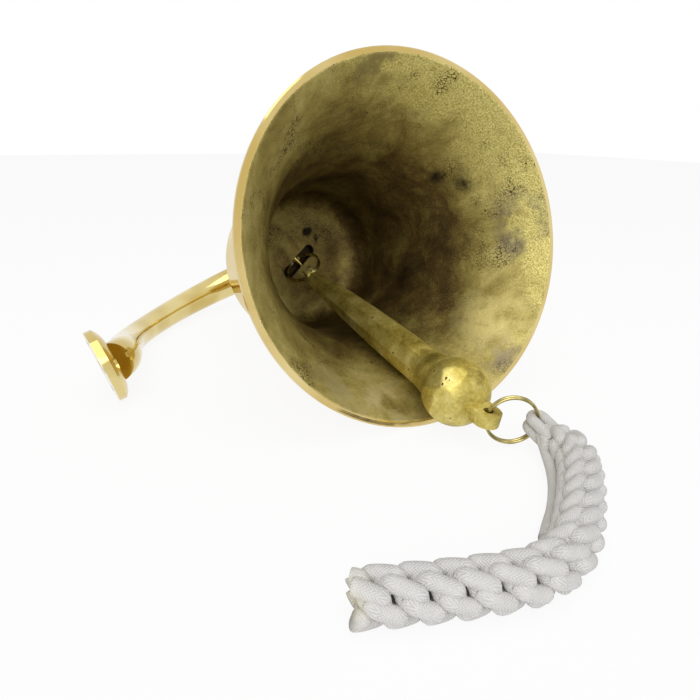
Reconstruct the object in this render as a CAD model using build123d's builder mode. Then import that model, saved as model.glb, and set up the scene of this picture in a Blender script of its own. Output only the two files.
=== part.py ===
from build123d import *
import os
from math import acos, asin, atan2, cos, hypot, radians, sin, sqrt, tan

# Wall-bracket bell, lying on a table.
#
# Every piece is first made upright in the bell's own frame: the mouth is at Z = 0, the axis is Z,
# the crown is up and the wall plate stands at +X. The last section lays the whole bell down on its
# rim, its shoulder and the edge of its wall plate, with the mouth-to-crown axis along +Y.

# ---------------------------------------------------------------- driving dimensions (mm)
# Bell
mouth_r = 100.0
lip_width = 3.4
lip_band = 3.0
lip_chamfer = 0.8
wall = 4.0
waist_wall = 8.0
waist_r = 62.0
waist_z = 88.0
throat_r = 66.0
throat_z = 52.0
shoulder_z = 158.0
shoulder_r = 59.0
shoulder_round = 10.0
crown_inner_z = 164.0
boss_r = 19.0
boss_top_z = 186.0
crown_rise = 4.0
inner_round = 18.0

# Slot under the crown, and the pin across it that carries the hanging ring
slot_length = 33.0
slot_width = 8.4
slot_depth = 8.5
slot_turn = -22.0
pin_d = 3.6
pin_height = 2.4
pin_grip = 5.0

# Split rings
ring_outer_d = 28.0
ring_wire_d = 1.6
coil_pitch = 1.55
hook_clearance = 1.0

# How the hanging ring lies at rest
ring_swing = -17.0
ring_lean = -26.0

# Clapper
clapper_length = 174.0
clapper_ball_d = 37.6
eye_hole_d = 8.0
eye_rim = 3.6
eye_thickness = 6.0
eye_play = 1.4
shank_top_r = 5.6
shank_mid_r = 10.0
shank_low_r = 10.8
shank_sides = 8
tail_reach = 25.0
tail_hole_d = 5.4
tail_r = 7.2
tail_thickness = 7.0
tail_turn = 40.8
pull_ring_turn = -120.6
lip_clearance = 0.3
shank_clearance = 0.2
rest_aside = -5.6

# Bracket
reach = 165.0
plate_z = 104.0
plate_d = 44.4
plate_edge = 4.5
plate_thickness = 8.5
plate_land_d = 25.0
screw_pcd = 34.6
screw_hole_d = 4.2
screw_head_d = 7.6
screw_count = 3
screw_start = 90.0
foot_r = 12.0
arm_r = 9.3
bend_r = 12.2
stem_r = 12.6
bend_top_z = 254.0
collar_r = 17.0
collar_height = 9.0

# Centre line of the arm's casting pattern: distances out from the bell's axis, with the rise above
# the plate's centre as far as the top of the bend, then the drop below that top
pattern_out = 156.5
pattern_rise = 150.0
pattern_drop = 57.0
pattern_rise_points = ((144.5, 36.0), (125.0, 92.0), (95.0, 121.0), (62.0, 143.0), (31.0, 150.0))
pattern_drop_points = ((8.0, 13.0), (0.0, 40.0))
foot_overrun = 2.0
foot_droop = 5.0

# Fasteners
washer_thickness = 2.0
washer_d = 31.0
stud_d = 10.0
stud_grip = 10.0
plate_screw_d = 5.0
plate_screw_head_d = 9.6
plate_screw_grip = 7.5
fit = 0.05
screw_sink = 0.15
screw_tip_gap = 0.5

# Lanyard
lanyard_d = 20.5
lanyard_eye_d = 12.6
lanyard_channel_d = 4.8
lanyard_neck = 11.0
table_clearance = 0.2

# ---------------------------------------------------------------- derived sizes
ring_r = (ring_outer_d - ring_wire_d) / 2
ring_hang = ring_r - ring_wire_d / 2 - pin_d / 2 - hook_clearance
pin_z = crown_inner_z + pin_height
washer_z = boss_top_z
collar_z = boss_top_z + washer_thickness
plate_front = reach - plate_thickness
upright = Vector(0, 0, 1)

os.makedirs("parts", exist_ok=True)

# ---------------------------------------------------------------- bell body
# A cast bell turned outside: lip band, flare, near-straight waist, rounded shoulder, crown and boss.
shoulder_flat_r = shoulder_r - shoulder_round
crown_top_z = crown_inner_z + wall
inner_r = shoulder_r - waist_wall
slot_plane = Plane(origin=(0, 0, crown_inner_z), x_dir=Vector(1, 0, 0).rotate(Axis.Z, slot_turn))
pin_line = Plane(origin=(0, 0, pin_z), x_dir=slot_plane.x_dir, z_dir=slot_plane.y_dir)

inner_wall_points = (
    (mouth_r - lip_width, 0),
    (throat_r, throat_z),
    (waist_r - waist_wall, waist_z),
    (inner_r, crown_inner_z - inner_round),
)
inner_wall_tangents = ((-0.8, 1), (-0.02, 1))

with BuildPart() as bell_body:
    with BuildSketch(Plane.XZ):
        with BuildLine():
            Polyline(
                (0, crown_inner_z),
                (0, boss_top_z),
                (boss_r, boss_top_z),
                (boss_r, crown_top_z + crown_rise),
                (shoulder_flat_r, crown_top_z),
            )
            RadiusArc((shoulder_flat_r, crown_top_z), (shoulder_r, shoulder_z), shoulder_round)
            Spline(
                (shoulder_r, shoulder_z),
                (waist_r, waist_z),
                (throat_r + wall, throat_z),
                (mouth_r, lip_band),
                tangents=((0.02, -1), (0.8, -1)),
            )
            Polyline((mouth_r, lip_band), (mouth_r, 0), (mouth_r - lip_width, 0))
            Spline(*inner_wall_points, tangents=inner_wall_tangents)
            RadiusArc(
                (inner_r, crown_inner_z - inner_round),
                (inner_r - inner_round, crown_inner_z),
                -inner_round,
            )
            Line((inner_r - inner_round, crown_inner_z), (0, crown_inner_z))
        make_face()
    revolve(axis=Axis.Z)
    # Slot for the hanging ring, cut up into the boss from inside.
    with BuildSketch(slot_plane):
        SlotOverall(slot_length, slot_width)
    extrude(amount=slot_depth, mode=Mode.SUBTRACT)
    # Cross hole for the pin.
    with BuildSketch(pin_line):
        Circle(pin_d / 2 + fit)
    extrude(amount=slot_width / 2 + pin_grip, both=True, mode=Mode.SUBTRACT)
    # Hole for the stud, down from the top of the boss.
    with BuildSketch(Plane.XY.offset(boss_top_z)):
        Circle(stud_d / 2 + fit)
    extrude(amount=-stud_grip, mode=Mode.SUBTRACT)
    # Turned edges.
    chamfer(
        bell_body.edges().filter_by(GeomType.CIRCLE).filter_by_position(Axis.Z, -0.1, 0.1),
        length=lip_chamfer,
    )

# ---------------------------------------------------------------- crown pin, stud and washer
with BuildPart() as crown_pin:
    with BuildSketch(pin_line):
        Circle(pin_d / 2)
    extrude(amount=slot_width / 2 + pin_grip - fit, both=True)

with BuildPart() as crown_stud:
    with BuildSketch(Plane.XY.offset(boss_top_z - stud_grip + 2 * fit)):
        Circle(stud_d / 2)
    extrude(amount=2 * stud_grip + washer_thickness - 4 * fit)
    chamfer(crown_stud.edges(), length=0.8)

with BuildPart() as crown_washer:
    with BuildSketch(Plane.XY.offset(washer_z)):
        Circle(washer_d / 2)
        Circle(stud_d / 2 + 0.4, mode=Mode.SUBTRACT)
    extrude(amount=washer_thickness)

# ---------------------------------------------------------------- bracket arm
# A cast goose-neck arm, thinnest behind its foot, with a turned collar on the crown.
# Its centre line is the casting pattern's, fitted to the plate, the top of the bend and the collar.
collar_top_z = collar_z + collar_height
out_fit = plate_front / pattern_out
rise_fit = (bend_top_z - plate_z) / pattern_rise
drop_fit = (bend_top_z - collar_top_z) / pattern_drop
arm_rise = [(out_fit * out, plate_z + rise_fit * rise) for out, rise in pattern_rise_points]
arm_drop = [(out_fit * out, bend_top_z - drop_fit * drop) for out, drop in pattern_drop_points]

with BuildPart() as bracket_arm:
    with BuildLine(Plane.XZ) as arm_line:
        Spline(
            (plate_front + foot_overrun, plate_z - foot_droop),
            *arm_rise,
            *arm_drop,
            (0, collar_top_z),
            tangents=((-0.6, 1), (0, -1)),
        )
    arm_sections = (
        (0, foot_r),
        (0.1, foot_r * 0.89),
        (0.25, arm_r),
        (0.45, arm_r),
        (0.65, (arm_r + bend_r) / 2),
        (0.8, bend_r),
        (0.9, stem_r),
        (1, stem_r),
    )
    for step, section_r in arm_sections:
        with BuildSketch(Plane(arm_line.line @ step, x_dir=(0, 1, 0), z_dir=arm_line.line % step)):
            Circle(section_r)
    loft()
    with BuildSketch(Plane.XY.offset(collar_z)):
        Circle(collar_r)
    extrude(amount=collar_height)
    fillet(bracket_arm.edges().filter_by(GeomType.CIRCLE).group_by(Axis.Z)[0], radius=1.5)
    # The foot is faced flat to seat on the wall plate.
    split(bisect_by=Plane(origin=(plate_front, 0, 0), z_dir=(-1, 0, 0)), keep=Keep.TOP)
    with BuildSketch(Plane.XY.offset(collar_z)):
        Circle(stud_d / 2 + fit)
    extrude(amount=stud_grip, mode=Mode.SUBTRACT)
    with BuildSketch(Plane(origin=(plate_front, 0, plate_z), x_dir=(0, 1, 0), z_dir=(-1, 0, 0))):
        Circle(plate_screw_d / 2 + fit)
    extrude(amount=plate_screw_grip, mode=Mode.SUBTRACT)

# ---------------------------------------------------------------- wall plate
wall_face = Plane(origin=(reach, 0, plate_z), x_dir=(0, 1, 0), z_dir=(-1, 0, 0))
plate_axis = Axis(wall_face.origin, wall_face.z_dir)
plate_section = Plane(origin=wall_face.origin, x_dir=(0, 1, 0), z_dir=(0, 0, 1))
plate_screw_seat = (reach - plate_edge - 2.2, 0, plate_z)

with BuildPart() as wall_plate:
    with BuildSketch(plate_section):
        with BuildLine():
            Polyline((0, plate_thickness), (0, 0), (plate_d / 2, 0), (plate_d / 2, plate_edge))
            ThreePointArc(
                (plate_d / 2, plate_edge),
                (plate_d / 2 - 3.2, plate_edge + 2.2),
                (plate_land_d / 2, plate_thickness),
            )
            Line((plate_land_d / 2, plate_thickness), (0, plate_thickness))
        make_face()
    revolve(axis=plate_axis)
    # Three countersunk holes for the wall, and one from behind for the screw that holds the arm.
    with Locations(Plane(origin=plate_screw_seat, x_dir=(0, 1, 0), z_dir=(-1, 0, 0))):
        with PolarLocations(screw_pcd / 2, screw_count, start_angle=screw_start):
            CounterSinkHole(screw_hole_d / 2, screw_head_d / 2, counter_sink_angle=90)
    with Locations(Plane(origin=(reach, 0, plate_z), x_dir=(0, 1, 0), z_dir=(1, 0, 0))):
        CounterSinkHole(
            plate_screw_d / 2 + fit, plate_screw_head_d / 2 + fit, counter_sink_angle=90
        )

# ---------------------------------------------------------------- plate screw
# Countersunk from behind, flush with the back of the plate, into the foot of the arm.
with BuildPart() as plate_screw:
    with BuildSketch(plate_section):
        with BuildLine():
            Polyline(
                (0, screw_sink),
                (plate_screw_head_d / 2 - screw_sink, screw_sink),
                (plate_screw_d / 2, (plate_screw_head_d - plate_screw_d) / 2),
                (plate_screw_d / 2, plate_thickness + plate_screw_grip - screw_tip_gap),
                (0, plate_thickness + plate_screw_grip - screw_tip_gap),
                (0, screw_sink),
            )
        make_face()
    revolve(axis=plate_axis)

# ---------------------------------------------------------------- split rings
# Two turns of wire pressed together, made lying flat about the origin.
def split_ring():
    with BuildPart() as ring:
        with Locations((0, 0, -coil_pitch / 2), (0, 0, coil_pitch / 2)):
            Torus(ring_r, ring_wire_d / 2)
    return ring


hanging_ring = split_ring()
pull_ring = split_ring()

# The hanging ring's place: on the pin, swung along the slot and leaned across it.
pin_place = Location(Plane(origin=(0, 0, pin_z), x_dir=slot_plane.x_dir))
ring_hanger = pin_place * Location((0, 0, 0), (ring_lean, ring_swing, 0))
ring_place = ring_hanger * Location((0, 0, -ring_hang), (90, 0, 0))
pivot = (ring_hanger * Location((0, 0, -ring_hang - ring_r))).position
eye_axis = Plane(ring_hanger).x_dir

# ---------------------------------------------------------------- how the bell lies
# The lean of the axis comes from the line that touches the rim and the shoulder, and the roll
# from the edge of the wall plate on the same table.
shoulder_out = mouth_r - shoulder_flat_r
shoulder_up = shoulder_z - lip_band
lean = acos(shoulder_round / hypot(shoulder_out, shoulder_up)) - atan2(shoulder_up, shoulder_out)
rim_drop = mouth_r * cos(lean) + lip_band * sin(lean)
roll_cos = 0.0
for _ in range(20):
    plate_drop = plate_d / 2 * sqrt(1 - (roll_cos * cos(lean)) ** 2)
    roll_cos = (plate_z * sin(lean) + plate_drop - rim_drop) / (reach * cos(lean))
roll_sin = sqrt(1 - roll_cos**2)
fall = Vector(-roll_cos, -roll_sin, 0)
table_up = Vector(roll_cos * cos(lean), roll_sin * cos(lean), -sin(lean))
table = Plane(origin=(0, 0, 0), x_dir=(-roll_sin, roll_cos, 0), z_dir=table_up)

# ---------------------------------------------------------------- clapper
# One casting: eye, eight-sided shank that swells downward, ball, and a flat drilled tail.
ball_r = clapper_ball_d / 2
eye_r = eye_hole_d / 2 + eye_rim
eye_z = ring_wire_d / 2 + eye_play - eye_hole_d / 2
shank_sections = (
    (eye_z - eye_r * 0.5, shank_top_r),
    (-clapper_length * 0.5, shank_mid_r),
    (-clapper_length + ball_r * 0.7, shank_low_r),
)
tail_z = -clapper_length - tail_reach
tail_normal = Vector(0, 1, 0).rotate(Axis.Z, tail_turn)
tail_plane = Plane(origin=(0, 0, tail_z), x_dir=(0, 0, 1), z_dir=tail_normal)

with BuildPart() as clapper:
    for section_z, section_r in shank_sections:
        with BuildSketch(Plane.XY.offset(section_z)):
            RegularPolygon(section_r, shank_sides, major_radius=False)
    loft()
    with Locations((0, 0, -clapper_length)):
        Sphere(ball_r)
    # The shank spreads into the ball.
    with BuildSketch(Plane.XY.offset(ball_r * 1.7 - clapper_length)):
        Circle(shank_low_r)
    with BuildSketch(Plane.XY.offset(ball_r * 0.7 - clapper_length)):
        Circle(ball_r * sqrt(1 - 0.7**2))
    loft()
    with BuildSketch(Plane.YZ):
        with Locations((0, eye_z)):
            Circle(eye_r)
    extrude(amount=eye_thickness / 2, both=True)
    with BuildSketch(tail_plane):
        Circle(tail_r)
        with Locations((tail_reach / 2, 0)):
            Rectangle(tail_reach, 2 * tail_r)
    extrude(amount=tail_thickness / 2, both=True)
    with BuildSketch(Plane.YZ):
        with Locations((0, eye_z)):
            Circle(eye_hole_d / 2)
    extrude(amount=eye_thickness, both=True, mode=Mode.SUBTRACT)
    with BuildSketch(tail_plane):
        Circle(tail_hole_d / 2)
    extrude(amount=tail_thickness, both=True, mode=Mode.SUBTRACT)

# The clapper has swung down until its ball or its shank meets the inside of the bell, a little to
# one side of its lowest point.
ball_side = fall.rotate(Axis.Z, rest_aside)
across = Vector(-ball_side.Y, ball_side.X, 0)
pivot_out = pivot.dot(ball_side)
swing_length = sqrt(clapper_length**2 - pivot.dot(across) ** 2)
stand_off = ball_r + lip_clearance
corner_share = 1 / cos(radians(180 / shank_sides))
half_length = clapper_length / 2
low_length = clapper_length - ball_r * 0.7
wall_steps = 40
with BuildLine() as inner_wall:
    Spline(*inner_wall_points, tangents=inner_wall_tangents)
swings = []
for step in range(wall_steps + 1):
    wall_point = inner_wall.line @ (step / wall_steps)
    distance = hypot(wall_point.X - pivot_out, pivot.Z - wall_point.Y)
    wall_angle = atan2(wall_point.X - pivot_out, pivot.Z - wall_point.Y)
    if abs(distance - swing_length) < stand_off:
        ball_share = (distance**2 + swing_length**2 - stand_off**2) / (2 * distance * swing_length)
        swings.append(wall_angle - acos(ball_share))
    if distance < swing_length:
        shank_share = max(0, (distance - half_length) / (low_length - half_length))
        shank_r = (shank_mid_r + (shank_low_r - shank_mid_r) * shank_share) * corner_share
        swings.append(wall_angle - asin((shank_r + shank_clearance) / distance))
swing = min(swings)
ball_centre = (
    ball_side * (pivot_out + swing_length * sin(swing)) + upright * (pivot.Z - swing_length * cos(swing))
)
clapper_up = (pivot - ball_centre).normalized()
clapper_side = (eye_axis - clapper_up * eye_axis.dot(clapper_up)).normalized()
clapper_place = Location(Plane(origin=pivot, x_dir=clapper_side, z_dir=clapper_up))

# ---------------------------------------------------------------- pull ring
tail_place = clapper_place * Location(tail_plane)
pull_direction = Vector(1, 0, 0).rotate(Axis.Z, pull_ring_turn)
pull_place = tail_place * Location(
    Plane(origin=pull_direction * ring_r, x_dir=pull_direction, z_dir=pull_direction.cross(Vector(0, 0, 1)))
)

# ---------------------------------------------------------------- lay everything down
pieces = {
    "bell_body": (bell_body, Location()),
    "crown_pin": (crown_pin, Location()),
    "crown_stud": (crown_stud, Location()),
    "crown_washer": (crown_washer, Location()),
    "bracket_arm": (bracket_arm, Location()),
    "wall_plate": (wall_plate, Location()),
    "plate_screw": (plate_screw, Location()),
    "hanging_ring": (hanging_ring, ring_place),
    "clapper": (clapper, clapper_place),
    "pull_ring": (pull_ring, pull_place),
}
lay_down = Location(table).inverse()
laid = [(lay_down * place * piece.part).bounding_box() for piece, place in pieces.values()]
low_x = min(box.min.X for box in laid)
high_x = max(box.max.X for box in laid)
low_y = min(box.min.Y for box in laid)
high_y = max(box.max.Y for box in laid)
rest = Location((-(low_x + high_x) / 2, -(low_y + high_y) / 2, rim_drop)) * lay_down

for name, (piece, place) in pieces.items():
    piece.part = rest * place * piece.part

# ---------------------------------------------------------------- lanyard
# Braided cotton.  A slimmer eye is worked round the pull ring, and the braid lies along the table
# from there.  The points are its centreline, each a step from the one before.
ring_far = (rest * pull_place * Location((ring_r, 0, 0))).position
braid_z = lanyard_d / 2 + table_clearance
braid_start = Vector(ring_far.X, ring_far.Y - lanyard_neck, braid_z)
braid_steps = [
    (-0.5, -17, 0),
    (-23.5, -24, 0),
    (-40, -31, 0),
    (-40, 8.5, 0),
    (-36.5, 14.5, 0),
]
braid_points = [braid_start]
for braid_step in braid_steps:
    braid_points.append(braid_points[-1] + Vector(*braid_step))
runs = [b - a for a, b in zip(braid_points, braid_points[1:])]
turns = [radians(a.get_angle(b)) for a, b in zip(runs, runs[1:])]
bend_radii = [
    0.45 * min(a.length, b.length) / tan(turn / 2) for a, b, turn in zip(runs, runs[1:], turns)
]
neck_line = Plane(origin=ring_far, z_dir=braid_start - ring_far)

with BuildPart() as lanyard:
    with BuildLine() as braid_line:
        FilletPolyline(*braid_points, radius=bend_radii)
    braid_face = Plane(braid_line.line @ 0, z_dir=braid_line.line % 0)
    with BuildSketch(braid_face):
        Circle(lanyard_d / 2)
    sweep()
    # Shoulder of the braid, drawn in to the eye.
    with BuildSketch(braid_face):
        Circle(lanyard_d / 2)
    with BuildSketch(neck_line.offset(lanyard_eye_d / 3)):
        Circle(lanyard_eye_d / 2)
    loft()
    # The eye, rounded over the ring, with the channel that the ring runs in.
    with BuildSketch(neck_line.offset(lanyard_eye_d / 3)):
        Circle(lanyard_eye_d / 2)
    extrude(amount=-lanyard_eye_d * 3 / 4)
    fillet(lanyard.faces().sort_by(Axis(ring_far, neck_line.z_dir))[0].edges(), radius=lanyard_eye_d / 4)
    with Locations(rest * pull_place):
        Torus(ring_r, lanyard_channel_d / 2, mode=Mode.SUBTRACT)
print("braid bend radii", [round(r, 1) for r in bend_radii])
print("lanyard length", round(braid_line.wire().length + lanyard_neck + lanyard_eye_d / 2, 1))

for name, (piece, place) in pieces.items():
    piece.part.label = name
    export_step(piece.part, f"parts/{name}.step")
lanyard.part.label = "lanyard"
export_step(lanyard.part, "parts/lanyard.step")
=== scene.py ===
import math
import bpy
import numpy as np
from mathutils import Matrix, Vector


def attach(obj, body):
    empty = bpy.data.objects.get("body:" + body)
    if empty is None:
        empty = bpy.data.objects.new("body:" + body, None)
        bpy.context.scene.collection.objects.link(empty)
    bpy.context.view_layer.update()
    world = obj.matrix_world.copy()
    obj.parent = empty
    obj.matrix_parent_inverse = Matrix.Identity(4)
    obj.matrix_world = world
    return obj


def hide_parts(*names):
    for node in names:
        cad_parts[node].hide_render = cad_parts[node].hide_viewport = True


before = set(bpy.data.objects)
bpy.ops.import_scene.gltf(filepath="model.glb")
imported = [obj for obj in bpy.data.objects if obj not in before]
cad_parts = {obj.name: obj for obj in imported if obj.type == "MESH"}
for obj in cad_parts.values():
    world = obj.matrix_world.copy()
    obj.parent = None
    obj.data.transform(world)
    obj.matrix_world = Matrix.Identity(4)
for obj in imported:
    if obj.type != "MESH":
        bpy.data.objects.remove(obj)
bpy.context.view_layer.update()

bpy.ops.object.select_all(action="DESELECT")

# ---------------------------------------------------------------- camera, floor and light
# A close hand-held view into the mouth of the lying bell, from a little above it.
camera_data = bpy.data.cameras.new("camera")
camera_data.sensor_width = 36.0
camera_data.lens = 30.86
camera_data.clip_start = 0.01
camera = bpy.data.objects.new("camera", camera_data)
bpy.context.scene.collection.objects.link(camera)
view_right = Vector((0.88164, -0.47171, 0.01509))
view_up = Vector((0.15295, 0.31585, 0.93642))
view_back = Vector((-0.44647, -0.82328, 0.35062))
eye = (-0.15166, -0.35655, 0.15533)
view_turn = Matrix((view_right, view_up, view_back)).transposed().to_4x4()
camera.matrix_world = Matrix.Translation(eye) @ view_turn
bpy.context.scene.camera = camera
bpy.context.scene.view_settings.view_transform = "Standard"


def linear(hex_colour):
    """An sRGB hex colour as linear RGBA."""
    channels = [int(hex_colour[i : i + 2], 16) / 255 for i in (0, 2, 4)]
    return tuple(
        c / 12.92 if c <= 0.04045 else ((c + 0.055) / 1.055) ** 2.4 for c in channels
    ) + (1.0,)


def add_node(tree, kind, settings=(), links=()):
    """One node, with its own settings and input values, and links given as (input, source)."""
    node = tree.nodes.new(kind)
    for key, value in dict(settings).items():
        if isinstance(key, str) and hasattr(node, key):
            setattr(node, key, value)
        else:
            node.inputs[key].default_value = value
    for key, source in links:
        tree.links.new(source, node.inputs[key])
    return node


def new_material(name):
    """An empty node material and its Principled shader."""
    material = bpy.data.materials.new(name)
    material.use_nodes = True
    tree = material.node_tree
    tree.nodes.clear()
    shader = tree.nodes.new("ShaderNodeBsdfPrincipled")
    out = tree.nodes.new("ShaderNodeOutputMaterial")
    tree.links.new(shader.outputs[0], out.inputs["Surface"])
    return material, tree, shader


def seen_by_camera_or_mirror(tree):
    """1 where the camera or a reflection looks straight at the surface, else 0."""
    rays = tree.nodes.new("ShaderNodeLightPath")
    mirror = add_node(
        tree, "ShaderNodeMath", {"operation": "MAXIMUM"},
        [(0, rays.outputs["Is Glossy Ray"]), (1, rays.outputs["Is Transmission Ray"])],
    )
    return add_node(
        tree, "ShaderNodeMath", {"operation": "MAXIMUM"},
        [(0, rays.outputs["Is Camera Ray"]), (1, mirror.outputs[0])],
    )


# White paper, which mostly glows where it is seen and so shows only the softest shadow.
floor_size = 6.0
paper_glow = 0.9
bpy.ops.mesh.primitive_plane_add(size=floor_size, location=(0, 0, 0))
floor = bpy.context.object
floor.name = "floor"
floor_material, tree, shader = new_material("white_paper")
shader.inputs["Base Color"].default_value = linear("F6F6F6")
shader.inputs["Roughness"].default_value = 0.7
paper_white = add_node(
    tree, "ShaderNodeEmission", {"Color": linear("FFFFFF"), "Strength": 1.0}
)
paper_seen = seen_by_camera_or_mirror(tree)
paper_share = add_node(
    tree, "ShaderNodeMath", {"operation": "MULTIPLY", 1: paper_glow}, [(0, paper_seen.outputs[0])]
)
paper = add_node(
    tree, "ShaderNodeMixShader",
    links=[(0, paper_share.outputs[0]), (1, shader.outputs[0]), (2, paper_white.outputs[0])],
)
tree.links.new(paper.outputs[0], tree.nodes["Material Output"].inputs["Surface"])
floor.data.materials.append(floor_material)

world = bpy.data.worlds.new("studio")
bpy.context.scene.world = world
world.use_nodes = True
tree = world.node_tree
tree.nodes.clear()
world_out = tree.nodes.new("ShaderNodeOutputWorld")
room_seen = seen_by_camera_or_mirror(tree)
room_light = 0.42
world_strength = add_node(
    tree, "ShaderNodeMapRange", {"To Min": room_light, "To Max": 1.0},
    [("Value", room_seen.outputs[0])],
)
world_light = add_node(
    tree, "ShaderNodeBackground", {"Color": linear("FFFFFF")},
    [("Strength", world_strength.outputs[0])],
)
tree.links.new(world_light.outputs[0], world_out.inputs["Surface"])


def add_lamp(name, place, aim, size, power):
    """A square area lamp turned toward a point."""
    lamp_data = bpy.data.lights.new(name, "AREA")
    lamp_data.size = size
    lamp_data.energy = power
    lamp = bpy.data.objects.new(name, lamp_data)
    bpy.context.scene.collection.objects.link(lamp)
    lamp.location = place
    lamp.rotation_euler = (Vector(aim) - Vector(place)).to_track_quat("-Z", "Y").to_euler()


add_lamp("soft_top", place=(-0.1, -0.35, 1.2), aim=(0, 0, 0.05), size=1.2, power=5.5)
add_lamp("soft_front", place=(-0.65, -1.15, 0.75), aim=(0.03, 0, 0.08), size=1.0, power=8)

# ---------------------------------------------------------------- lanyard
# A round sennit of six soft cotton strands over one another, with two bights through the pull
# ring, one strand left long beside it and a glued, cut end.
route_points = [
    (0.06398, -0.16072, 0.01375),
    (0.06398, -0.17172, 0.01045),
    (0.06348, -0.18872, 0.01045),
    (0.03998, -0.21272, 0.01045),
    (-0.00002, -0.24372, 0.01045),
    (-0.04002, -0.23522, 0.01045),
    (-0.07652, -0.22072, 0.01045),
]
route_data = bpy.data.curves.new("lanyard_route", "CURVE")
route_data.dimensions = "3D"
route_data.resolution_u = 32
spline = route_data.splines.new("NURBS")
spline.points.add(len(route_points) - 1)
for point, place in zip(spline.points, route_points):
    point.co = (*place, 1)
spline.order_u = 3
spline.use_endpoint_u = True
route = bpy.data.objects.new("lanyard_route", route_data)
bpy.context.scene.collection.objects.link(route)
bpy.context.view_layer.update()
route_mesh = bpy.data.meshes.new_from_object(route)
path = np.array([v.co[:] for v in route_mesh.vertices])
bpy.data.objects.remove(route)
steps = np.linalg.norm(np.diff(path, axis=0), axis=1)
run = np.concatenate([[0], np.cumsum(steps)])
route_length = run[-1]


direction_reach = 0.001


def on_route(distance):
    """Centre points, sideways and up directions at distances along the route."""
    centre = np.stack([np.interp(distance, run, path[:, i]) for i in range(3)], 1)
    ahead = np.stack([np.interp(distance + direction_reach, run, path[:, i]) for i in range(3)], 1)
    behind = np.stack([np.interp(distance - direction_reach, run, path[:, i]) for i in range(3)], 1)
    along = ahead - behind
    along /= np.linalg.norm(along, axis=1)[:, None]
    side = np.cross(along, (0, 0, 1))
    side /= np.linalg.norm(side, axis=1)[:, None]
    up = np.cross(side, along)
    return centre, side, up


def add_tube(verts, faces, uvs, points, radius, sides):
    """A closed tube along points, with UV in metres: along it, and round it."""
    along = np.gradient(points, axis=0)
    along /= np.linalg.norm(along, axis=1)[:, None]
    first = len(verts)
    side = np.cross(along[0], (0.3, 0.2, 1.0))
    side /= np.linalg.norm(side)
    travelled = 0.0
    radii = np.broadcast_to(radius, len(points))
    for i, (point, direction) in enumerate(zip(points, along)):
        side = side - direction * np.dot(side, direction)
        side /= np.linalg.norm(side)
        other = np.cross(direction, side)
        if i:
            travelled += np.linalg.norm(point - points[i - 1])
        for j in range(sides):
            angle = 2 * math.pi * j / sides
            verts.append(point + radii[i] * (side * math.cos(angle) + other * math.sin(angle)))
            uvs.append((travelled, j / sides))
    for i in range(len(points) - 1):
        for j in range(sides):
            a = first + i * sides + j
            b = first + i * sides + (j + 1) % sides
            faces.append((a, b, b + sides, a + sides))
    faces.append(tuple(first + j for j in reversed(range(sides))))
    last = first + (len(points) - 1) * sides
    faces.append(tuple(last + j for j in range(sides)))


columns = 6
strand_r = 0.0031
braid_r = 0.01025
bead_pitch = 0.0123
bead_share = 0.84
bead_slant = 0.34
strand_out = braid_r - strand_r
strand_in = 0.0043
strand_sides = 16
neck_start = 0.0055
neck_length = 0.013
neck_share = 0.3
sample_step = 0.0004
end_gap = 0.0005
top_dive = 0.76
tuck_start = 0.5
tuck_run = 0.42


def smooth(x):
    """0 to 1 with a flat start and end."""
    x = np.clip(x, 0, 1)
    return x * x * (3 - 2 * x)


verts, faces, uvs = [], [], []
sample = np.arange(neck_start, route_length - end_gap, sample_step)
centre, side, up = on_route(sample)
for strand in range(columns):
    beads = sample / bead_pitch - (strand % 2) / 2
    number = np.floor(beads + 0.5)
    off_centre = 2 * (beads - number)
    x = np.abs(off_centre)
    # Over its bead the strand slants; between beads it crosses underneath to the next column
    # but one.
    slant = bead_slant * np.clip(x / bead_share, 0, 1)
    crossing = (1 - bead_slant) * smooth((x - bead_share) / (1 - bead_share))
    column = strand + 2 * number + np.sign(off_centre) * (slant + crossing)
    angle = -2 * math.pi / columns * column
    top_end = smooth((x - top_dive) / (1 - top_dive))
    tucked_end = smooth((x - tuck_start) / tuck_run)
    out = strand_out - (strand_out - strand_in) * np.where(off_centre < 0, top_end, tucked_end)
    out = out * (neck_share + (1 - neck_share) * smooth((sample - neck_start) / neck_length))
    sideways = side * (out * np.cos(angle))[:, None]
    upward = up * (out * np.sin(angle))[:, None]
    points = centre + sideways + upward
    add_tube(verts, faces, uvs, points, strand_r, strand_sides)
# Bights through the pull ring, one above the other.
bight_r = 0.0036
bight_strand_r = 0.0028
bight_height = 0.0029
leg_length = 0.014
leg_steps = 7
turn_steps = 14
forward = (path[4] - path[0]) / np.linalg.norm(path[4] - path[0])
aside = np.cross(forward, (0, 0, 1))
aside /= np.linalg.norm(aside)
lift = np.cross(aside, forward)
for height in (-bight_height, bight_height):
    steps_in = np.linspace(leg_length, 0, leg_steps + 1)[:-1]
    half_turn = np.linspace(0, math.pi, turn_steps)
    ahead = np.concatenate([steps_in, -bight_r * np.sin(half_turn), steps_in[::-1]])
    across = np.concatenate(
        [np.full(leg_steps, -bight_r), -bight_r * np.cos(half_turn), np.full(leg_steps, bight_r)]
    )
    bight = path[0] + forward * ahead[:, None] + aside * across[:, None] + lift * height
    add_tube(verts, faces, uvs, bight, bight_strand_r, strand_sides)
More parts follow.
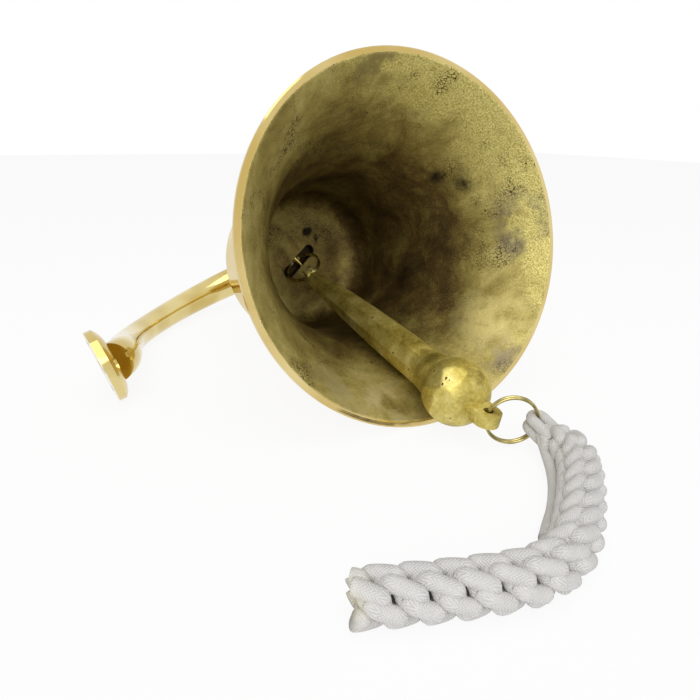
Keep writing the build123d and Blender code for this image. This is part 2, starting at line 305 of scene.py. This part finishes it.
# The long strand lies slack along the inside of the bend.
slack_points = [
    (0.0615, -0.1660, 0.0115), (0.0563, -0.1762, 0.0070), (0.0501, -0.1859, 0.0054),
    (0.0418, -0.1960, 0.0050), (0.0330, -0.2045, 0.0047), (0.0249, -0.2113, 0.0050),
    (0.0167, -0.2172, 0.0057), (0.0060, -0.2255, 0.0082),
]
slack_r = 0.00295
slack_steps = 90
slack_smoothings = 30
slack = np.array(slack_points)
slack_spans = np.linalg.norm(np.diff(slack, axis=0), axis=1)
slack_run = np.concatenate([[0], np.cumsum(slack_spans)])
slack_fine = np.linspace(0, slack_run[-1], slack_steps)
slack = np.stack([np.interp(slack_fine, slack_run, slack[:, i]) for i in range(3)], 1)
for _ in range(slack_smoothings):
    slack[1:-1] = (slack[:-2] + 2 * slack[1:-1] + slack[2:]) / 4
add_tube(verts, faces, uvs, slack, slack_r, strand_sides)
mesh = bpy.data.meshes.new("lanyard_braid")
mesh.from_pydata([tuple(v) for v in verts], [], faces)
uv_layer = mesh.uv_layers.new(name="strand")
for polygon in mesh.polygons:
    around = [uvs[mesh.loops[loop].vertex_index][1] for loop in polygon.loop_indices]
    for loop in polygon.loop_indices:
        along_uv, around_uv = uvs[mesh.loops[loop].vertex_index]
        # The last side of a tube runs on past 1 instead of back to 0.
        if len(around) == 4 and max(around) - min(around) > 0.5 and around_uv < 0.5:
            around_uv += 1.0
        uv_layer.data[loop].uv = (along_uv, around_uv)
for polygon in mesh.polygons:
    polygon.use_smooth = True
braid = bpy.data.objects.new("lanyard_braid", mesh)
bpy.context.scene.collection.objects.link(braid)
cotton, tree, shader = new_material("braided_cotton")
# Each strand is itself plaited from soft yarns, 1.2 mm apart in a herringbone: chalk white with
# painted shade, grey, in the furrows, and a yellow stain of glue at the cut end.
yarn = 0.0012
yarns_round = 5
yarn_slope = 0.02
strand_uv = add_node(tree, "ShaderNodeUVMap", {"uv_map": "strand"})
strand_split = add_node(tree, "ShaderNodeSeparateXYZ", links=[(0, strand_uv.outputs[0])])
zigzag = add_node(
    tree, "ShaderNodeMath", {"operation": "PINGPONG", 1: 0.5 / yarns_round},
    [(0, strand_split.outputs["Y"])],
)
phase = add_node(
    tree, "ShaderNodeMath", {"operation": "MULTIPLY_ADD", 1: yarn_slope},
    [(0, zigzag.outputs[0]), (2, strand_split.outputs["X"])],
)
phase_scaled = add_node(
    tree, "ShaderNodeMath", {"operation": "MULTIPLY", 1: 2 * math.pi / yarn},
    [(0, phase.outputs[0])],
)
yarns = add_node(tree, "ShaderNodeMath", {"operation": "SINE"}, [(0, phase_scaled.outputs[0])])
place = add_node(tree, "ShaderNodeTexCoord")
fuzz = add_node(
    tree, "ShaderNodeTexNoise", {"Scale": 900.0, "Detail": 3.0},
    [("Vector", place.outputs["Object"])],
)
wear = add_node(
    tree, "ShaderNodeTexNoise", {"Scale": 160.0, "Detail": 4.0},
    [("Vector", place.outputs["Object"])],
)
cotton_height = add_node(
    tree, "ShaderNodeMath", {"operation": "MULTIPLY_ADD", 1: 0.4},
    [(0, yarns.outputs[0]), (2, fuzz.outputs["Fac"])],
)
cotton_bump = add_node(
    tree, "ShaderNodeBump", {"Strength": 0.6, "Distance": 0.0004},
    [("Height", cotton_height.outputs[0])],
)
tree.links.new(cotton_bump.outputs[0], shader.inputs["Normal"])
# Painted shade: the yarn furrows are greyed in the colour, together with random wear.
furrow_shade_and_wear = add_node(
    tree, "ShaderNodeMath", {"operation": "MULTIPLY_ADD", 1: 0.5},
    [(0, yarns.outputs[0]), (2, wear.outputs["Fac"])],
)
cotton_tone = add_node(tree, "ShaderNodeValToRGB", links=[("Fac", furrow_shade_and_wear.outputs[0])])
cotton_tone.color_ramp.elements[0].position = 0.0
cotton_tone.color_ramp.elements[0].color = linear("C4C2BF")
cotton_tone.color_ramp.elements[1].position = 0.22
cotton_tone.color_ramp.elements[1].color = linear("DDDBD8")
glue_reach = 0.011
from_end = add_node(
    tree, "ShaderNodeVectorMath", {"operation": "DISTANCE", 1: tuple(path[-1])},
    [(0, place.outputs["Object"])],
)
glue = add_node(
    tree, "ShaderNodeMapRange",
    {"From Min": glue_reach / 2, "From Max": glue_reach, "To Min": 0.55, "To Max": 0.0},
    [("Value", from_end.outputs["Value"])],
)
glued = add_node(
    tree, "ShaderNodeMix", {"data_type": "RGBA", 7: linear("E6DDBB")},
    [(0, glue.outputs[0]), (6, cotton_tone.outputs[0])],
)
tree.links.new(glued.outputs[2], shader.inputs["Base Color"])
shader.inputs["Roughness"].default_value = 0.95
shader.inputs["Sheen Weight"].default_value = 0.2
mesh.materials.append(cotton)
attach(braid, "cord")
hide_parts("lanyard")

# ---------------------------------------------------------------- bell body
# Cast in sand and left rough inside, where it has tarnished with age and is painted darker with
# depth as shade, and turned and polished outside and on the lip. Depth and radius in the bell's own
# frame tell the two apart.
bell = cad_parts["bell_body"]
mouth_centre = (0.03183, -0.09136, 0.09749)
axis_turn = (math.radians(-104.7), 0.0, 0.0)
cast, tree, shader = new_material("sand_cast_and_polished_brass")
place = add_node(tree, "ShaderNodeTexCoord")
in_bell = add_node(
    tree, "ShaderNodeMapping",
    {"vector_type": "TEXTURE", "Location": mouth_centre, "Rotation": axis_turn},
    [("Vector", place.outputs["Object"])],
)
bell_place = in_bell.outputs[0]
along_axis = add_node(tree, "ShaderNodeSeparateXYZ", links=[(0, bell_place)])
flat_part = add_node(
    tree, "ShaderNodeVectorMath", {"operation": "MULTIPLY", 1: (1.0, 1.0, 0.0)}, [(0, bell_place)]
)
out_from_axis = add_node(
    tree, "ShaderNodeVectorMath", {"operation": "LENGTH"}, [(0, flat_part.outputs[0])]
)


def add_ramp(tree, source, stops):
    """A colour ramp with stops of (position, linear colour)."""
    ramp_node = add_node(tree, "ShaderNodeValToRGB", links=[("Fac", source)])
    elements = ramp_node.color_ramp.elements
    while len(elements) < len(stops):
        elements.new(0.5)
    for element, (position, colour) in zip(elements, stops):
        element.position = position
        element.color = colour
    return ramp_node.outputs[0]


def add_math(tree, operation, first, second):
    """A math node whose operands are sources or numbers."""
    node = tree.nodes.new("ShaderNodeMath")
    node.operation = operation
    for index, operand in enumerate((first, second)):
        if isinstance(operand, float):
            node.inputs[index].default_value = operand
        else:
            tree.links.new(operand, node.inputs[index])
    return node.outputs[0]


bell_height = 0.200
depth_share = add_math(tree, "DIVIDE", along_axis.outputs["Z"], bell_height)
widest_mm = 100
middle_of_wall_mm = (
    (0, 97), (15, 87.5), (30, 78.5), (52, 68), (70, 61.5), (88, 56.5), (115, 54), (165, 53),
    (166.5, 17.5), (173.5, 17.5), (174.5, 0),
)
middle_of_wall = add_ramp(
    tree, depth_share,
    [(z / 1000 / bell_height, (r / widest_mm,) * 3 + (1.0,)) for z, r in middle_of_wall_mm],
)
wall_radius = add_math(tree, "MULTIPLY", middle_of_wall, widest_mm / 1000)
inside = add_math(tree, "LESS_THAN", out_from_axis.outputs["Value"], wall_radius)

# Sand-cast skin: olive gold near the mouth, with painted shade that darkens it to brown deep inside
# and a little less on the crown.
clouds = add_node(
    tree, "ShaderNodeTexNoise",
    {"Scale": 26.0, "Detail": 12.0, "Roughness": 0.74, "Distortion": 0.3},
    [("Vector", bell_place)],
)
grain = add_node(
    tree, "ShaderNodeTexNoise", {"Scale": 1000.0, "Detail": 3.0, "Roughness": 0.8},
    [("Vector", bell_place)],
)
# Painted shade: how much the skin is darkened at each depth into the bell.
painted_shade_by_depth = (
    (0.0, -0.03), (0.13, 0.02), (0.27, 0.2), (0.5, 0.26), (0.78, 0.26), (0.82, 0.12), (0.84, 0.44),
)
painted_depth_shade = add_ramp(
    tree, depth_share, [(depth, (tone,) * 3 + (1.0,)) for depth, tone in painted_shade_by_depth]
)
grain_tone = add_math(tree, "MULTIPLY", grain.outputs["Fac"], 0.34)
cloud_tone = add_math(tree, "ADD", clouds.outputs["Fac"], grain_tone)
tarnish_and_depth_shade = add_math(tree, "SUBTRACT", cloud_tone, painted_depth_shade)
skin_colours = (
    (0.28, "3A2A14"), (0.42, "67532A"), (0.54, "8E7E42"), (0.66, "AFA05C"), (0.80, "CDBF7C"),
)
skin = add_ramp(tree, tarnish_and_depth_shade, [(level, linear(colour)) for level, colour in skin_colours])

# Brighter, yellower patches where the skin has rubbed off near the lip; their spread leans toward
# the light, to top and right, as painted light on the lit side.
toward_light = add_node(
    tree, "ShaderNodeVectorMath", {"operation": "DOT_PRODUCT", 1: (6.0, -4.6, -13.0)},
    [(0, bell_place)],
)
patches = add_node(
    tree, "ShaderNodeTexNoise",
    {
        "noise_dimensions": "4D", "W": 2.0, "Scale": 34.0, "Detail": 12.0,
        "Roughness": 0.7, "Distortion": 0.5,
    },
    [("Vector", bell_place)],
)
patch_level = add_node(
    tree, "ShaderNodeMath", {"operation": "MULTIPLY_ADD", 1: 0.42},
    [(0, toward_light.outputs["Value"]), (2, patches.outputs["Fac"])],
)
patch_amount = add_node(
    tree, "ShaderNodeMapRange", {"From Min": 0.55, "From Max": 0.66, "To Max": 0.85},
    [("Value", patch_level.outputs[0])],
)
# Colour of the rubbed patches, laid on most toward the lit side as painted light.
rubbed_and_lit_brass = add_ramp(
    tree, grain.outputs["Fac"], [(0.38, linear("A39547")), (0.6, linear("E2D68A"))]
)
rubbed_and_lit_skin = add_node(
    tree, "ShaderNodeMix", {"data_type": "RGBA"},
    [(0, patch_amount.outputs[0]), (6, skin), (7, rubbed_and_lit_brass)],
)
# A net of fine black casting pores, densest in the rubbed patches.
bent = add_node(
    tree, "ShaderNodeTexNoise", {"Scale": 160.0, "Detail": 3.0}, [("Vector", bell_place)]
)
bent_place = add_node(
    tree, "ShaderNodeVectorMath", {"operation": "MULTIPLY_ADD", 1: (0.004, 0.004, 0.004)},
    [(0, bent.outputs["Color"]), (2, bell_place)],
)
pores = add_node(
    tree, "ShaderNodeTexVoronoi", {"feature": "DISTANCE_TO_EDGE", "Scale": 520.0},
    [("Vector", bent_place.outputs[0])],
)
pore_zone = add_node(
    tree, "ShaderNodeTexNoise", {"Scale": 60.0, "Detail": 5.0}, [("Vector", bell_place)]
)
pore_width = add_node(
    tree, "ShaderNodeMapRange", {"From Min": 0.52, "From Max": 0.75, "To Max": 0.10},
    [("Value", pore_zone.outputs["Fac"])],
)
pore = add_math(tree, "LESS_THAN", pores.outputs["Distance"], pore_width.outputs[0])
pored_skin = add_node(
    tree, "ShaderNodeMix", {"data_type": "RGBA", 7: linear("4C3E1C")},
    [(0, pore), (6, rubbed_and_lit_skin.outputs[2])],
)
interior = pored_skin.outputs[2]
# Single marks: grey stains by the lip, sooty holes on the wall, and a black cold shut on the crown.
marks = (
    ((0.0858, -0.0066, 0.0131), 0.022, "746A58", 0.9),
    ((0.0800, 0.0060, 0.0160), 0.015, "6B6356", 0.8),
    ((0.0584, 0.0681, 0.0082), 0.018, "8A7F6C", 0.9),
    ((-0.0114, -0.0896, 0.0074), 0.020, "857848", 0.8),
    ((0.0631, 0.0508, 0.0209), 0.030, "D9CB86", 0.95),
    ((-0.0257, 0.0832, 0.0117), 0.034, "CFC18C", 0.85),
    ((-0.0481, 0.0709, 0.0135), 0.022, "B3A673", 0.7),
    ((0.0508, -0.0398, 0.0520), 0.010, "2B2110", 1.0),
    ((0.0642, -0.0335, 0.0362), 0.010, "2B2110", 1.0),
    ((0.0164, -0.0145, 0.1640), 0.0062, "1E160A", 2.5),
    ((0.0115, -0.0195, 0.1640), 0.0055, "1E160A", 2.5),
)
spot_core = 0.3
for spot_place, spot_size, spot_colour, spot_strength in marks:
    spot_distance = add_node(
        tree, "ShaderNodeVectorMath", {"operation": "DISTANCE", 1: spot_place},
        [(0, bent_place.outputs[0])],
    )
    spot_reach = add_node(
        tree, "ShaderNodeMapRange",
        {
            "From Min": spot_size * spot_core, "From Max": spot_size,
            "To Min": spot_strength, "To Max": 0.0,
        },
        [("Value", spot_distance.outputs["Value"])],
    )
    spot_grain = add_node(
        tree, "ShaderNodeMapRange", {"From Min": 0.42, "From Max": 0.56},
        [("Value", pore_zone.outputs["Fac"])],
    )
    spot = add_math(tree, "MULTIPLY", spot_reach.outputs[0], spot_grain.outputs[0])
    spotted = add_node(
        tree, "ShaderNodeMix", {"data_type": "RGBA", 7: linear(spot_colour)},
        [(0, spot), (6, interior)],
    )
    interior = spotted.outputs[2]
# Turned and buffed outside, with a slight warm tarnish.
haze = add_node(
    tree, "ShaderNodeTexNoise", {"Scale": 14.0, "Detail": 5.0}, [("Vector", bell_place)]
)
buffed = add_ramp(tree, haze.outputs["Fac"], [(0.38, linear("CBB069")), (0.62, linear("E0CC90"))])
bell_colour = add_node(
    tree, "ShaderNodeMix", {"data_type": "RGBA"}, [(0, inside), (6, buffed), (7, interior)]
)
tree.links.new(bell_colour.outputs[2], shader.inputs["Base Color"])
ripple = add_node(
    tree, "ShaderNodeTexNoise", {"Scale": 70.0, "Detail": 3.0}, [("Vector", bell_place)]
)
relief = add_node(
    tree, "ShaderNodeMath", {"operation": "MULTIPLY_ADD", 1: 2.4},
    [(0, ripple.outputs["Fac"]), (2, grain.outputs["Fac"])],
)
relief_cut = add_math(tree, "SUBTRACT", relief.outputs[0], pore)
relief_inside = add_math(tree, "MULTIPLY", relief_cut, inside)
cast_bump = add_node(
    tree, "ShaderNodeBump", {"Strength": 0.5, "Distance": 0.0006}, [("Height", relief_inside)]
)
tree.links.new(cast_bump.outputs[0], shader.inputs["Normal"])
cast_roughness = add_node(
    tree, "ShaderNodeMapRange", {"To Min": 0.56, "To Max": 0.42},
    [("Value", patch_amount.outputs[0])],
)
bell_roughness = add_node(
    tree, "ShaderNodeMix", {"data_type": "FLOAT", 2: 0.09},
    [(0, inside), (3, cast_roughness.outputs[0])],
)
tree.links.new(bell_roughness.outputs[0], shader.inputs["Roughness"])
bell_metal = add_node(
    tree, "ShaderNodeMapRange", {"To Min": 1.0, "To Max": 0.7}, [("Value", inside)]
)
tree.links.new(bell_metal.outputs[0], shader.inputs["Metallic"])
bell.data.materials.clear()
bell.data.materials.append(cast)

# ---------------------------------------------------------------- bracket, plate and screw
# Cast brass, ground and polished bright all over, with the faint ripple that hand polishing
# leaves.
polished, tree, shader = new_material("polished_brass")
shader.inputs["Metallic"].default_value = 1.0
place = add_node(tree, "ShaderNodeTexCoord")
smear = add_node(
    tree, "ShaderNodeTexNoise", {"Scale": 90.0, "Detail": 4.0},
    [("Vector", place.outputs["Object"])],
)
polish = add_node(
    tree, "ShaderNodeMapRange", {"To Min": 0.05, "To Max": 0.15}, [("Value", smear.outputs["Fac"])]
)
tree.links.new(polish.outputs[0], shader.inputs["Roughness"])
swell = add_node(
    tree, "ShaderNodeTexNoise", {"Scale": 35.0, "Detail": 1.0},
    [("Vector", place.outputs["Object"])],
)
hand_ripple = add_node(
    tree, "ShaderNodeBump", {"Strength": 0.25, "Distance": 0.002},
    [("Height", swell.outputs["Fac"])],
)
tree.links.new(hand_ripple.outputs[0], shader.inputs["Normal"])
brass_tone = add_ramp(
    tree, swell.outputs["Fac"], [(0.35, linear("CDB670")), (0.6, linear("E0CE90"))]
)
tree.links.new(brass_tone, shader.inputs["Base Color"])
for name in ("bracket_arm", "wall_plate", "plate_screw", "crown_stud", "crown_washer", "crown_pin"):
    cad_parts[name].data.materials.clear()
    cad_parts[name].data.materials.append(polished)

# ---------------------------------------------------------------- clapper
# One rough casting, yellower than the bell, with flats where the ball was filed and black pores.
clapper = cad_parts["clapper"]
ball_centre = (0.0398, -0.1240, 0.0217)
rough, tree, shader = new_material("rough_cast_brass")
place = add_node(tree, "ShaderNodeTexCoord")
blotch = add_node(
    tree, "ShaderNodeTexNoise", {"Scale": 60.0, "Detail": 8.0, "Roughness": 0.62},
    [("Vector", place.outputs["Object"])],
)
grit = add_node(
    tree, "ShaderNodeTexNoise", {"Scale": 650.0, "Detail": 5.0},
    [("Vector", place.outputs["Object"])],
)
mottle = add_node(
    tree, "ShaderNodeMath", {"operation": "MULTIPLY_ADD", 1: 0.3},
    [(0, grit.outputs["Fac"]), (2, blotch.outputs["Fac"])],
)
clapper_colours = ((0.46, "8D7A33"), (0.58, "B6A34C"), (0.70, "D0BF68"), (0.84, "E4D78C"))
clapper_tone = add_ramp(
    tree, mottle.outputs[0], [(level, linear(colour)) for level, colour in clapper_colours]
)
specks = add_node(
    tree, "ShaderNodeTexVoronoi", {"Scale": 260.0}, [("Vector", place.outputs["Object"])]
)
speck_zone = add_node(
    tree, "ShaderNodeMapRange", {"From Min": 0.52, "From Max": 0.7, "To Max": 0.3},
    [("Value", blotch.outputs["Fac"])],
)
speck = add_math(tree, "LESS_THAN", specks.outputs["Distance"], speck_zone.outputs[0])
specked = add_node(
    tree, "ShaderNodeMix", {"data_type": "RGBA", 7: linear("55451A")},
    [(0, speck), (6, clapper_tone)],
)
tree.links.new(specked.outputs[2], shader.inputs["Base Color"])
facets = add_node(
    tree, "ShaderNodeTexVoronoi", {"feature": "SMOOTH_F1", "Scale": 75.0, "Smoothness": 0.25},
    [("Vector", place.outputs["Object"])],
)
from_ball = add_node(
    tree, "ShaderNodeVectorMath", {"operation": "DISTANCE", 1: ball_centre},
    [(0, place.outputs["Object"])],
)
filed = add_node(
    tree, "ShaderNodeMapRange",
    {"From Min": 0.019, "From Max": 0.026, "To Min": 1.0, "To Max": 0.15},
    [("Value", from_ball.outputs["Value"])],
)
flats = add_math(tree, "MULTIPLY", facets.outputs["Distance"], filed.outputs[0])
flat_bump = add_node(
    tree, "ShaderNodeBump", {"Strength": 0.7, "Distance": 0.006}, [("Height", flats)]
)
pitted_height = add_math(tree, "SUBTRACT", mottle.outputs[0], speck)
clapper_bump = add_node(
    tree, "ShaderNodeBump", {"Strength": 0.5, "Distance": 0.0006},
    [("Height", pitted_height), ("Normal", flat_bump.outputs[0])],
)
tree.links.new(clapper_bump.outputs[0], shader.inputs["Normal"])
shader.inputs["Metallic"].default_value = 0.75
shader.inputs["Roughness"].default_value = 0.48
clapper.data.materials.clear()
clapper.data.materials.append(rough)

# ---------------------------------------------------------------- split rings
# Drawn brass wire, wound twice and sprung shut, gone dull grey-gold with handling.
wire, tree, shader = new_material("brass_wire")
place = add_node(tree, "ShaderNodeTexCoord")
handling = add_node(
    tree, "ShaderNodeTexNoise", {"Scale": 220.0, "Detail": 4.0},
    [("Vector", place.outputs["Object"])],
)
wire_tone = add_ramp(
    tree, handling.outputs["Fac"], [(0.35, linear("8F8350")), (0.65, linear("C6B87C"))]
)
tree.links.new(wire_tone, shader.inputs["Base Color"])
shader.inputs["Metallic"].default_value = 1.0
shader.inputs["Roughness"].default_value = 0.25
for name in ("hanging_ring", "pull_ring"):
    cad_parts[name].data.materials.clear()
    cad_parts[name].data.materials.append(wire)
